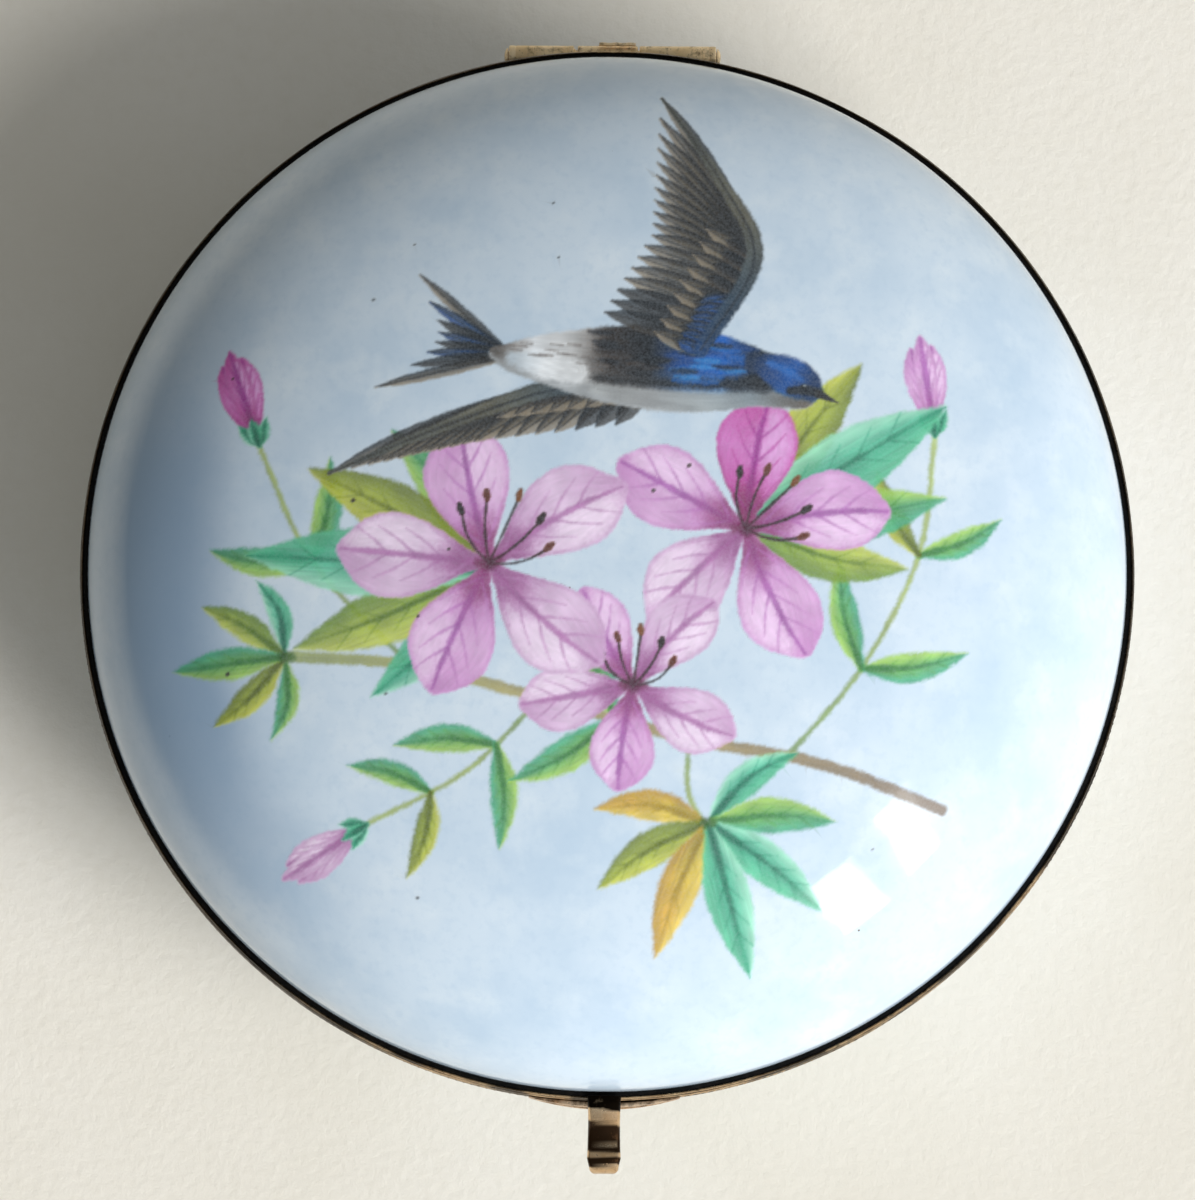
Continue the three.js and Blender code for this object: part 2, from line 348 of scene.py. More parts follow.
# Inks of a petal: its ground, shadow, light, throat and veins
MAUVE = ("d2a8d4", "bd84be", "e4c8e8", "83386c", "a05ca6")
LILAC = ("d6bcda", "bd92be", "e8d6ec", "8c4c82", "a66ea4")
ROSE = ("c878be", "b44496", "d8a6da", "742450", "92308a")
PETAL_SHAPE = ((0.03, 0.1), (0.16, 0.3), (0.34, 0.68), (0.52, 0.95), (0.68, 1.0), (0.81, 0.82), (0.91, 0.5))


def petal(enamel, root, heading, length, width, inks, bend=0.0):
    ground, shadow, light, throat, veins = inks
    blade = Blade(root, heading, length, bend)
    half = width / 2
    left = [blade.at(share, half * wide) for share, wide in PETAL_SHAPE]
    right = [blade.at(share, -half * wide * 0.94) for share, wide in PETAL_SHAPE]
    shape = enamel.patch([*left, blade.at(1), *right[::-1]], ground, soft=0.28, grain=0.08)
    # Places along the petal, then places across it and widths as shares of its half width
    tints = (
        (((0.2, 0.5, 0.6), (0.6, 0.6, 1), (0.95, 0.2, 1)), (shadow, ground, shadow)),
        (((0.3, -0.3, 0.6), (0.65, -0.4, 0.8), (0.85, -0.3, 0.5)), (ground, light, light)),
        (((0, 0, 0.9), (0.18, 0, 0.9), (0.4, 0, 0.4)), (throat, throat, shadow)),
    )
    for stops, tint in tints:
        path = blade.path(*[(share, half * across, half * wide) for share, across, wide in stops])
        enamel.stroke(path, tint, soft=half * 0.55, strength=0.8, inside=shape, grain=0.08)
    for side in (left, right):
        rim = [(x, y, 0.3) for x, y in side[1:]]
        enamel.stroke(rim, (throat, shadow, shadow), soft=0.4, strength=0.6, inside=shape)
    for share in (0.12, 0.3, 0.48, 0.66):
        for side in (-1, 1):
            vein = blade.path((share, 0, 0.16), (share + 0.12, side * half * 0.32, 0.14),
                              (share + 0.26, side * half * 0.6, 0.08))
            enamel.stroke(vein, (veins, shadow), soft=0.22, strength=0.6, inside=shape)
    middle = blade.path((0, 0, 0.42), (0.3, 0, 0.4), (0.7, 0, 0.34), (0.97, 0, 0.14))
    enamel.stroke(middle, (throat, veins, veins), soft=0.28, strength=0.85, inside=shape)


def stamen(enamel, root, heading, length, bend, head):
    thread = Blade(root, heading, length, bend)
    line = thread.path(*[(share, 0, 0.16) for share in (0, 0.3, 0.6, 0.85, 1)])
    enamel.stroke(line, ("4a1c30", "2c1a1c", "33201c"), soft=0.16, strength=0.9)
    anther = thread.path((0.97, 0, 0.34), (1.03, 0.05, 0.44), (1.1, 0.08, 0.3))
    enamel.stroke(anther, (head,), soft=0.18)


def bud(enamel, root, heading, length, width, inks=MAUVE):
    """A furled flower in its sepals."""
    for turn, wide in ((7, 0.75), (-6, 0.8), (0, 0.6)):
        petal(enamel, root, heading + turn, length * (1 - abs(turn) / 60), width * wide, inks)
    for turn in (-32, 28, 0):
        leaf(enamel, root, heading + turn, length * 0.28, width * 0.35, TEAL)


def fan(enamel, root, heading, length, count, spread, palettes=LEAF_PALETTES):
    """Leaves fanned out of one knot, the middle ones in front."""
    for k, turn in enumerate(sorted(np.linspace(-spread, spread, count), key=abs, reverse=True)):
        size = length * (1 - 0.3 * abs(turn) / spread)
        start = Blade(root, heading + turn, 1).at(0.3)
        bend = 0.6 * turn / spread
        leaf(enamel, start, heading + turn, size, 0.29 * size, palettes[k % len(palettes)], bend)
    knot = [(root[0] - 0.1, root[1], 0.7), (root[0] + 0.2, root[1], 0.6)]
    enamel.stroke(knot, ("2f5418", "3c641e"), soft=0.5, strength=0.85)


def shoot(enamel, points, inks, width, pairs, length):
    """A shoot with pairs of leaves along it, each pair smaller than the one before."""
    stem(enamel, points, inks, width)
    line = smooth_line(points)
    for k in range(pairs):
        at = (k + 1) * len(line) // (pairs + 1)
        ahead = line[at] - line[at - 1]
        heading = math.degrees(math.atan2(ahead[1], ahead[0]))
        size = length * 0.86 ** k
        for side in (-1, 1):
            palette = LEAF_PALETTES[(2 * k + side) % len(LEAF_PALETTES)]
            leaf(enamel, line[at], heading + 46 * side, size, 0.28 * size, palette, 0.4 * side)


def blossom(enamel, heart, turn, size, inks):
    """An open flower of five petals, with a brush of stamens to one side."""
    for k, scale in enumerate((1.0, 0.93, 0.98, 0.9, 0.96)):
        petal(enamel, heart, turn + 72 * k, size * scale, 0.56 * size, inks[k % len(inks)], 0.4 - 0.2 * k)
    x, y = heart
    throat = [(x - 0.6, y, 0.5), (x, y, 0.9), (x + 0.6, y + 0.1, 0.5)]
    enamel.stroke(throat, ("6b2a4e", "4c1a36", "6b2a4e"), soft=0.5, strength=0.85)
    for k in range(5):
        length = size * (0.46 - 0.04 * abs(k - 2))
        anther = ("5c2c18", "2a1a16", "74451c")[k % 3]
        stamen(enamel, heart, turn + 36 + 26 * (k - 2), length, 0.2 * (k - 2), anther)


def paint_spray(enamel):
    """Three blossoms on a leafy branch that comes in from the right, with buds at the ends of its shoots."""
    green, bark = ("6c8a3c", "8fa044", "9cae54"), ("64481c", "8c7630", "9c9040", "8c9a48")
    shoot(enamel, [(11, -12.4), (15.5, -7), (19, 0), (20, 7.4)], green, 0.34, 2, 6.6)
    bud(enamel, (20, 7.4), 98, 6.4, 2.3)
    shoot(enamel, [(-4, -9), (-8.5, -13.4), (-14.6, -16.6)], green, 0.34, 2, 6.2)
    bud(enamel, (-14.6, -16.6), 212, 6.2, 2.2, LILAC)
    shoot(enamel, [(-12, -7), (-18, -0.6), (-21.4, 6.6)], green, 0.34, 1, 6.4)
    bud(enamel, (-21.4, 6.6), 108, 6.4, 2.5, ROSE)
    branch = [(20.5, -15.4), (13, -12.8), (5, -11.4), (-4, -9), (-12, -7), (-19.6, -6.4)]
    shoot(enamel, branch, bark, 0.7, 1, 7.4)
    fan(enamel, (-19.6, -6.4), 186, 6.8, 5, 74)
    stem(enamel, [(5, -11.4), (5, -14.6), (6.2, -17)], green)
    fan(enamel, (6.2, -16.4), 286, 9.4, 7, 112, (OCHRE, TEAL, FERN, OLIVE, TEAL))
    fan(enamel, (8.4, 1.6), 32, 14.2, 5, 46, (MOSS, TEAL, FERN, OLIVE, TEAL))
    fan(enamel, (-7.4, -1.2), 176, 14.4, 5, 52, (FERN, TEAL, OLIVE, MOSS, TEAL))
    blossom(enamel, (8.4, 1.4), 8, 9.0, (MAUVE, ROSE, MAUVE, LILAC))
    blossom(enamel, (1.6, -8.2), 46, 7.2, (LILAC, MAUVE))
    blossom(enamel, (-7.2, -0.8), 30, 9.6, (LILAC, MAUVE, LILAC, MAUVE))


def feather(enamel, root, tip, width, inks, bend=0.0):
    """A feather with its shaft."""
    run = np.array(tip) - np.array(root)
    blade = Blade(root, math.degrees(math.atan2(run[1], run[0])), math.hypot(*run), bend)
    vane = blade.path((0, 0, width * 0.7), (0.4, 0, width), (0.75, 0, width * 0.85), (1, 0, width * 0.15))
    enamel.stroke(vane, inks, inks[0], inks[-1], soft=0.2, strength=0.9, grain=0.1)
    shaft = blade.path((0, 0, 0.15), (0.5, 0, 0.16), (0.97, 0, 0.09))
    enamel.stroke(shaft, ("191614", "262424"), soft=0.16, strength=0.675)


TAUPE = ("1a1714", "57503f", "8e8371")
SOOT = ("060506", "14110e", "3a332a")
BLUE = ("04101f", "0f58ac", "0b3a78")


def wing(enamel, shoulder, wrist, tip, rear, inner):
    """A wing: flight feathers of the hand, then of the arm, rows of coverts and the leading edge."""
    shoulder, wrist, tip, rear, inner = (np.array(p, float) for p in (shoulder, wrist, tip, rear, inner))
    hand, arm, row, blues = 10, 8, 9, 6
    for k in range(hand):
        share = k / hand
        end = between(tip, rear, share ** 0.8)
        feather(enamel, between(wrist, shoulder, 0.15 * share), end, 1.15, TAUPE, 0.35 * (1 - share))
    for k in range(arm):
        share = k / (arm - 1)
        root = between(wrist, shoulder, 0.15 + 0.75 * share)
        feather(enamel, root, between(rear, inner, share), 1.3, TAUPE if share < 0.6 else SOOT)
    for reach, width, inks in ((0.48, 1.1, TAUPE), (0.28, 0.9, SOOT)):
        for k in range(row):
            share = k / (row - 1)
            root = between(wrist, shoulder, share)
            target = between(between(tip, rear, 0.75), inner, share)
            feather(enamel, root, between(root, target, reach), width, inks)
    for k in range(blues):
        root = between(wrist, shoulder, 0.45 + 0.11 * k)
        feather(enamel, root, between(root, inner, 0.24), 0.9, BLUE)
    front = between(wrist, tip, 0.5) + (wrist - rear) * 0.1
    enamel.stroke([(*shoulder, 0.9), (*wrist, 1.1), (*front, 0.7), (*tip, 0.15)],
                  ("0c3460", "35424c", "5c5a4c", "50524a", "565c58"), soft=0.28, grain=0.25)
    enamel.stroke([(*shoulder, 0.12), (*(wrist * 0.99), 0.16), (*front, 0.14), (*tip, 0.08)],
                  ("0a1c30", "24221e", "34322c"), soft=0.18, strength=0.8)


def strokes(enamel, rows, inside=None):
    """Brush strokes, each of (points, inks, softness, strength)."""
    for points, inks, soft, strength in rows:
        enamel.stroke(points, inks, soft=soft, strength=strength, inside=inside)


def tail(enamel, root):
    """A forked tail, its outer feathers the longest."""
    for heading, length, inks in ((52, 7.6, TAUPE), (44, 6.0, BLUE), (36, 5.0, SOOT), (28, 4.6, BLUE),
                                  (20, 4.6, SOOT), (12, 5.0, BLUE), (4, 6.0, SOOT), (356, 8.4, TAUPE)):
        feather(enamel, root, Blade(root, heading, length).at(1), 0.75, inks)


def bird_body(enamel):
    """The body from head to rump, blue above and pale below, with a white rump."""
    body = enamel.stroke([(-6.6, 10.2, 3.1), (-4.6, 10.9, 3.5), (-1.8, 11.7, 4.9), (1.6, 12.5, 5.4),
                          (4.8, 13.2, 4.7), (7.6, 13.9, 3.5), (10.2, 14.5, 2.0), (11.2, 14.9, 1.0)],
                         ("0b2c58", "06121f", "0f5ab2", "0d4690", "0c090a", "2e251e", "c8cacc", "dfe4ea",
                          "5c5650"), right="a4a9ad", soft=0.3, grain=0.16)
    strokes(enamel, (
        ([(6.6, 13.0, 1.6), (8.6, 13.8, 1.6), (10.2, 14.4, 0.9)], ("dde1e5", "e8edf2", "bccbd8"), 0.6, 0.8),
        ([(-7.0, 9.2, 1.0), (-4.0, 9.7, 1.1), (-1.0, 9.9, 1.2), (2.4, 10.7, 1.2), (5.4, 11.7, 0.8)],
         ("5c544c", "7c8890", "98a0a4", "8f9294", "a0a4a6"), 0.4, 0.9),
        ([(-4.8, 10.6, 1.0), (-1.4, 11.0, 0.6), (2.0, 11.6, 0.5), (5.4, 12.4, 0.4)],
         ("0c0c10", "14110f"), 0.6, 0.8),
    ), body)
    return body


def plumage(enamel, body):
    """Flecks of blue on the back, dark ones behind them, and grey ones on the rump."""
    rng = np.random.default_rng(4)
    blues, darks = ("0e5cae", "2f86cc", "06101e", "0a3a78"), ("120f10", "2c241e", "4a4038", "0c0b0e")
    for k in range(46):
        share = rng.random()
        x, y = -4.6 + 9.4 * share, 12.0 + 1.5 * share + rng.normal(0, 0.75)
        inks = darks if share > 0.62 else blues
        fleck = [(x - 0.7, y - 0.12, 0.2), (x, y + 0.02, 0.36), (x + 0.7, y + 0.2, 0.14)]
        enamel.stroke(fleck, inks[k % 4:k % 4 + 1], soft=0.3, strength=0.7, inside=body)
    for k in range(16):
        x = 4.6 + 0.36 * k
        y = 13.5 + 0.22 * (x - 4.6) + rng.normal(0, 0.6)
        fleck = [(x, y, 0.12), (x + 0.7, y + 0.2, 0.08)]
        enamel.stroke(fleck, ("6c6460",), soft=0.2, strength=0.6, inside=body)


def bird_head(enamel):
    """The crown and its sheen, the lores, the beak, the eye and its glint."""
    strokes(enamel, (
        ([(-7.4, 9.9, 1.6), (-6.6, 10.6, 2.4), (-5.4, 11.4, 2.0), (-4.2, 12.0, 1.0)],
         ("0a2c58", "0c4c96", "0b3f80", "08203e"), 0.4, 0.95),
        ([(-7.0, 10.5, 0.3), (-6.2, 11.2, 0.5), (-5.2, 11.8, 0.3)], ("1b66b8",), 0.4, 0.7),
        ([(-8.0, 9.5, 0.5), (-7.2, 9.8, 0.6), (-6.2, 9.9, 0.4)], ("0a0c12",), 0.3, 0.9),
        ([(-7.9, 9.5, 0.5), (-8.5, 9.1, 0.3), (-9.0, 8.8, 0.08)], ("1c1816", "2c2622"), 0.14, 1.0),
        ([(-7.1, 10.05, 0.32), (-7.05, 10.06, 0.3)], ("040508",), 0.12, 1.0),
        ([(-7.16, 10.14, 0.1), (-7.12, 10.15, 0.08)], ("c4d2dc",), 0.08, 1.0),
    ))


def paint_swallow(layer):
    """A swallow that climbs towards the right. It is drawn level and facing left, in a frame of its own."""
    enamel = layer.seen_from(6.5, -0.8, 9)
    wing(enamel, (1.4, 11.8), (8.2, 12.2), (22.4, 9.2), (13.2, 9.7), (4.6, 9.4))
    tail(enamel, (10.4, 14.6))
    plumage(enamel, bird_body(enamel))
    bird_head(enamel)
    wing(enamel, (-1.2, 13.2), (-5.4, 18.6), (-1.4, 29.8), (0.6, 20.8), (4.2, 16.4))


def paint_specks(enamel):
    """Specks of kiln dust in the glaze."""
    rng = np.random.default_rng(11)
    for k in range(16):
        reach, turn = 27 * math.sqrt(rng.random()), math.tau * rng.random()
        x, y, size = reach * math.cos(turn), reach * math.sin(turn), 0.12 + 0.1 * rng.random()
        enamel.stroke([(x, y, size), (x + 0.05, y + 0.03, size)], ("2c241c",), soft=0.12, strength=0.8)


# Shapes

def show(name, data):
    thing = bpy.data.objects.new(name, data)
    bpy.context.scene.collection.objects.link(thing)
    return thing


def make_piece(name, points, faces, material, shares=None, crease=50):
    """A mesh from points in millimetres. shares are named values at its points, that its material reads."""
    mesh = bpy.data.meshes.new(name)
    mesh.from_pydata((np.array(points) * MM).tolist(), [], [list(map(int, face)) for face in faces])
    for key, values in (shares or {}).items():
        values = np.array(values, float)
        kind, slot = ("FLOAT_VECTOR", "vector") if values.ndim == 2 else ("FLOAT", "value")
        mesh.attributes.new(key, kind, "POINT").data.foreach_set(slot, values.ravel())
    mesh.materials.append(material)
    mesh.shade_smooth()
    mesh.set_sharp_from_angle(angle=math.radians(crease))
    return show(name, mesh)


def flipped(faces):
    return [face[::-1] for face in faces]


def radius_of(points):
    return np.hypot(points[:, 0], points[:, 1])


def skin(rings, joined):
    """Quads over rings of points. joined says whether the last ring runs on into the first; if not, both ends
    are closed by a flat face."""
    count, size = len(rings), len(rings[0])
    index = np.arange(count * size).reshape(count, size)
    lower, upper = (index, np.roll(index, -1, axis=0)) if joined else (index[:-1], index[1:])
    faces = np.stack([lower, upper, np.roll(upper, -1, axis=1), np.roll(lower, -1, axis=1)], axis=-1)
    faces = faces.reshape(-1, 4).tolist()
    if not joined:
        faces += [index[0].tolist(), index[-1][::-1].tolist()]
    return np.array(rings).reshape(-1, 3), faces


def turn(section, sides):
    """Turns a closed section of radius and height about the upright axis. The section may be a function of
    the angle."""
    rings = []
    for angle in np.linspace(0, math.tau, sides, endpoint=False):
        points = section(angle) if callable(section) else section
        rings.append([(r * math.cos(angle), r * math.sin(angle), PARTING + h) for r, h in points])
    return skin(rings, joined=True)


def rounded(width, height, radius, steps=4):
    """A rectangle with round corners about the origin, counter-clockwise."""
    corners = ((1, 1, 0), (-1, 1, 90), (-1, -1, 180), (1, -1, 270))
    points = []
    for side, up, start in corners:
        cx, cy = side * (width / 2 - radius), up * (height / 2 - radius)
        for k in range(steps + 1):
            angle = math.radians(start + 90 * k / steps)
            points.append((cx + radius * math.cos(angle), cy + radius * math.sin(angle)))
    return points


def crown(outer, inner, low, high, roundness, steps):
    """A quarter of a superellipse, from upright at the outer radius to level at the inner one."""
    angles = np.linspace(0, math.pi / 2, steps + 1)
    radii = inner + (outer - inner) * np.cos(angles).clip(0) ** (2 / roundness)
    heights = low + (high - low) * np.sin(angles) ** (2 / roundness)
    return list(zip(radii, heights))


def lid_profile():
    """Radius and height along the outside of the dome from the crown, and the length of the line to each."""
    line = np.array(crown(PORCELAIN_RADIUS, 0, SHOULDER, SHOULDER + DOME_RISE, DOME_ROUNDNESS, 400)[::-1])
    lengths = np.concatenate([[0], np.cumsum(np.hypot(*np.diff(line, axis=0).T))])
    return line[:, 0], line[:, 1], lengths


def lid_lattice():
    """Even points over the dome, from a square grid squeezed into a circle: x, y and z, in grid order."""
    steps = CELLS * FINE
    u, v = np.meshgrid(np.linspace(-1, 1, steps + 1), np.linspace(-1, 1, steps + 1), indexing="ij")
    x, y = u * np.sqrt(1 - v ** 2 / 2), v * np.sqrt(1 - u ** 2 / 2)
    share = np.hypot(x, y)
    radii, heights, lengths = lid_profile()
    reach = share * lengths[-1]
    scale = np.interp(reach, lengths, radii) / np.maximum(share, 1e-9)
    return x * scale, y * scale, np.interp(reach, lengths, heights) + PARTING


def lid_faces(index, painted):
    """Small quads in painted cells, and one face elsewhere, which takes in its neighbours' extra points."""
    small = np.stack([index[:-1, :-1], index[1:, :-1], index[1:, 1:], index[:-1, 1:]], axis=-1)
    chosen = np.kron(painted, np.ones((FINE, FINE), bool))
    faces = small[chosen].tolist()
    for i, j in np.argwhere(~painted):
        a, b, c, d = i * FINE, (i + 1) * FINE, j * FINE, (j + 1) * FINE
        below = j > 0 and painted[i, j - 1]
        right = i + 1 < CELLS and painted[i + 1, j]
        above = j + 1 < CELLS and painted[i, j + 1]
        left = i > 0 and painted[i - 1, j]
        face = []
        for line, split in ((index[a:b, c], below), (index[b, c:d], right), (index[b:a:-1, d], above),
                            (index[a, d:c:-1], left)):
            face += line.tolist() if split else [int(line[0])]
        faces.append(face)
    return faces


def dome_normal(points):
    """The outward direction of the dome's outside."""
    reach = radius_of(points) / PORCELAIN_RADIUS
    rise = np.maximum(points[:, 2] - PARTING - SHOULDER, 0) / DOME_RISE
    outward = reach ** (DOME_ROUNDNESS - 1) / PORCELAIN_RADIUS
    upward = rise ** (DOME_ROUNDNESS - 1) / DOME_RISE
    flat = points[:, :2] / np.maximum(radius_of(points), 1e-9)[:, None]
    normals = np.column_stack([flat * outward[:, None], upward])
    return normals / np.linalg.norm(normals, axis=1)[:, None]


def painted_shade_of(points):
    """Painted shade in the glaze: a darker blue crescent inside the left edge, on the side away from the
    light.
    """
    radius = radius_of(points)
    turned = np.degrees(np.arctan2(points[:, 1], points[:, 0])) % 360
    uneven = 2.4 * (noise(points[:, 0] / 5, points[:, 1] / 5, 21) - 0.5)
    across = 0.9 * ramp(radius + uneven, *PAINTED_SHADE_START) * (1 - 0.6 * ramp(radius, *PAINTED_SHADE_END))
    along = 1 - ramp(np.abs(turned - PAINTED_SHADE_MIDDLE), *PAINTED_SHADE_ANGLES)
    return across * along * (points[:, 2] > PARTING + SHOULDER)


def painting(x, y):
    """The enamel on the lid's outside."""
    enamel = Enamel(x, y)
    paint_spray(enamel)
    paint_swallow(enamel)
    paint_specks(enamel)
    return enamel


def lid_inside(points, faces, ring):
    """Adds the lid's edge and hollow below a ring of points: extends the faces, and returns all points."""
    directions = points[ring, :2] / PORCELAIN_RADIUS
    inside = PORCELAIN_RADIUS - WALL
    hollow = crown(inside, 0, SHOULDER, SHOULDER + DOME_RISE - WALL, DOME_ROUNDNESS, 40)[:-1]
    for radius, height in [(PORCELAIN_RADIUS, PORCELAIN_EDGE), (inside, PORCELAIN_EDGE), *hollow]:
        lower = np.arange(len(points), len(points) + len(ring))
        heights = np.full((len(ring), 1), PARTING + height)
        points = np.vstack([points, np.hstack([directions * radius, heights])])
        faces += np.column_stack([ring, lower, np.roll(lower, -1), np.roll(ring, -1)]).tolist()
        ring = lower
    faces.append(ring[::-1].tolist())
    return points


def porcelain_lid(painted_glaze, plain_glaze):
    """The lid: its painted outside, its edge and its hollow."""
    x, y, z = lid_lattice()
    enamel = painting(x.ravel(), y.ravel())
    steps = CELLS * FINE
    cover = enamel.cover.reshape(steps + 1, steps + 1)
    painted = cover[:-1, :-1].reshape(CELLS, FINE, CELLS, FINE).max(axis=(1, 3)) > 0.02
    index = np.arange((steps + 1) ** 2).reshape(steps + 1, steps + 1)
    faces = lid_faces(index, painted)
    used = np.unique(np.concatenate([np.array(face) for face in faces]))
    order = np.full((steps + 1) ** 2, -1)
    order[used] = np.arange(len(used))
    faces = [order[face].tolist() for face in faces]
    outside = len(faces)
    points = np.column_stack([x.ravel(), y.ravel(), z.ravel()])[used]
    corner, back = np.arange(0, steps, FINE), np.arange(steps, 0, -FINE)
    rim = np.concatenate([index[corner, 0], index[-1, corner], index[back, -1], index[0, back]])
    points = lid_inside(points, faces, order[rim])
    # The crescent share is painted shade: a darker blue in the glaze inside the left edge.
    marks = {"ink": np.zeros((len(points), 3)), "painted": np.zeros(len(points)), "painted_shade": painted_shade_of(points)}
    marks["ink"][:len(used)] = linear(enamel.ink[used].clip(0, 1))
    marks["painted"][:len(used)] = enamel.cover[used]
    lid = make_piece("lid_porcelain", points, faces, painted_glaze, marks, crease=40)
    lid.data.materials.append(plain_glaze)
    lid.data.polygons.foreach_set("material_index", (np.arange(len(faces)) >= outside).astype(int))
    normals = np.zeros((len(points), 3))
    normals[:len(used)] = dome_normal(points[:len(used)])
    lid.data.normals_split_custom_set_from_vertices(normals.tolist())
    return lid


def porcelain_bowl(material):
    """The bowl on its foot, with a rounded rim and a shallow ring under the foot."""
    inside = PORCELAIN_RADIUS - WALL
    belly = FOOT_HEIGHT - PARTING
    floor = belly + WALL
    axis = 0.001  # just off it, so that no two points meet there
    foot = ((-3.0, 0.3), (-2.0, 0.25), (-1.2, 0.05), (-0.6, 0), (-0.15, 0.04), (0.05, 0.2), (0.15, 0.45))
    section = [(axis, 0.3 - PARTING), *((FOOT_RADIUS + across, height - PARTING) for across, height in foot)]
    section += crown(PORCELAIN_RADIUS, FOOT_RADIUS + 0.3, -SHOULDER, belly, BOWL_ROUNDNESS, 60)[::-1]
    section += [(PORCELAIN_RADIUS, -PORCELAIN_EDGE), (inside, -PORCELAIN_EDGE)]
    section += crown(inside, FOOT_RADIUS - WALL, -SHOULDER, floor, BOWL_ROUNDNESS, 60)
    section += [(FOOT_RADIUS / 2, floor), (axis, floor)]
    return make_piece("bowl_porcelain", *turn(section, 256), material, crease=60)


def bezel_section(flange, side):
    """The section of a bezel at an angle: a flange, and a wall with fine threads, one of them milled."""
    steps = 7 * THREADS

    def section(angle):
        waver = 0.035 * (noise(np.array(angle * 9), np.array(side + 2.0), 3) - 0.5)
        points = [(flange, SEAM), (SEAM_RADIUS - 0.1, SEAM), (SEAM_RADIUS + 0.02 + waver, SEAM + 0.05)]
        for k in range(steps + 1):
            share = k / steps
            swell = abs(math.sin(math.pi * THREADS * share))
            milled = int(share * THREADS) == MILLED_THREAD
            mill = MILLING_DEPTH * math.cos(MILLING * angle) if milled else 0
            wall = SEAM_RADIUS * (1 - share) + LIP_RADIUS * share
            height = THREADS_START + THREADS_REACH * share
            points.append((wall + waver + (THREAD_DEPTH + mill) * swell, height))
        points += [(LIP_RADIUS + 0.02, BEZEL_TOP - 0.1), (LIP_RADIUS - 0.03, BEZEL_TOP),
                   (BEZEL_INNER + 0.05, BEZEL_TOP), (BEZEL_INNER, BEZEL_TOP - 0.1),
                   (BEZEL_INNER, FLANGE_TOP), (flange, FLANGE_TOP)]
        return [(radius, side * height) for radius, height in points]
    return section


def grime_of(points):
    """How deep each point of a bezel lies between its threads, where dirt stays, from 0 to 1."""
    height = np.abs(points[:, 2] - PARTING)
    share = (height - THREADS_START) / THREADS_REACH
    groove = 1 - np.abs(np.sin(math.pi * THREADS * share))
    outside = radius_of(points) > BEZEL_INNER + 0.01
    return np.where(outside & (share > -0.05) & (share < 1.02), groove, 0.0)


def tarnish_and_painted_light_of(points):
    """How black the brass is: little round the thumb-piece, where fingers rub it and where a painted
    highlight lies on the side towards the light, and much elsewhere, tarnish together with painted shade.
    """
    turned = np.degrees(np.arctan2(points[:, 1], points[:, 0]))
    away = np.abs((turned - LIT_AND_RUBBED_MIDDLE + 180) % 360 - 180)
    blotches = noise(turned / 4 + 100, points[:, 2] * 2, 8)
    # worn is where the brass stays bright: wear from fingers, and a painted highlight on the side towards the
    # light.
    worn = 1 - ramp(away + 14 * (blotches - 0.5), LIT_AND_RUBBED_REACH, LIT_AND_RUBBED_REACH + LIT_AND_RUBBED_FADE)
    return (1 - worn) * (0.86 + 0.14 * blotches) + worn * ramp(blotches, 0.35, 0.6) * 0.85


def cut_away(piece, cutter):
    """The piece without what lies inside the cutter."""
    change = piece.modifiers.new("cut", "BOOLEAN")
    change.operation, change.object = "DIFFERENCE", cutter
    graph = bpy.context.evaluated_depsgraph_get()
    cut = bpy.data.meshes.new_from_object(piece.evaluated_get(graph))
    piece.modifiers.clear()
    piece.data = cut
    bpy.data.objects.remove(cutter)


def bezel(name, flange, side, material):
    """A bezel with the round groove that the hinge lies in. The lid's is filed flat above the knuckles."""
    points, faces = turn(bezel_section(flange, side), MILLING * 3)
    # The tarnish share holds tarnish, painted shade away from the light, and a painted highlight towards it.
    marks = {"grime": grime_of(points), "tarnish_and_painted_light": tarnish_and_painted_light_of(points)}
    ring = make_piece(name, points, flipped(faces) if side > 0 else faces, material, marks)
    start, end = KNUCKLES[0][0] - 0.4, KNUCKLES[-1][1] + 0.4
    groove = [(0.0, start), (NOTCH_RADIUS, start), (NOTCH_RADIUS, end), (0.0, end)]
    cut_away(ring, along_x("groove", groove, None))
    if side > 0:
        corners = ((FLAT_Y, 0), (FLAT_Y + 2, 0), (FLAT_Y + 2, 3), (FLAT_Y, 3))
        block = [[(x, y, PARTING + height) for y, height in corners] for x in (start, end)]
        points, faces = skin(block, joined=False)
        cut_away(ring, make_piece("flat", points, flipped(faces), None))
    return ring


def cement(name, side, material):
    """Cement between the porcelain and the bezel, uneven on top. Its near-black colour is painted shade in
    the gap as well as the cement's own.
    """
    def section(angle):
        u = np.array(angle * 24)
        top = SHOULDER + 0.1 * (noise(u, np.array(side + 5.0), 5) - 0.4)
        bulge = 0.05 * (noise(u * 2.3, np.array(side + 9.0), 6) - 0.5)
        inner, outer = PORCELAIN_RADIUS - 0.08, BEZEL_INNER + 0.01
        points = [(inner, 0.85), (outer, 0.85), (outer, top + 0.1), ((inner + outer) / 2, top + 0.12 + bulge),
                  (inner, top)]
        return [(radius, side * height) for radius, height in points]
    points, faces = turn(section, 720)
    return make_piece(name, points, flipped(faces) if side > 0 else faces, material, crease=40)


def collar(material):
    centre = (COLLAR_TOP + COLLAR_BOTTOM) / 2
    outline = rounded(COLLAR_WALL, COLLAR_TOP - COLLAR_BOTTOM, 0.15)
    section = [(COLLAR_RADIUS - COLLAR_WALL / 2 + across, centre + up) for across, up in outline]
    points, faces = turn(section, 360)
    return make_piece("collar_ring", points, flipped(faces), material)


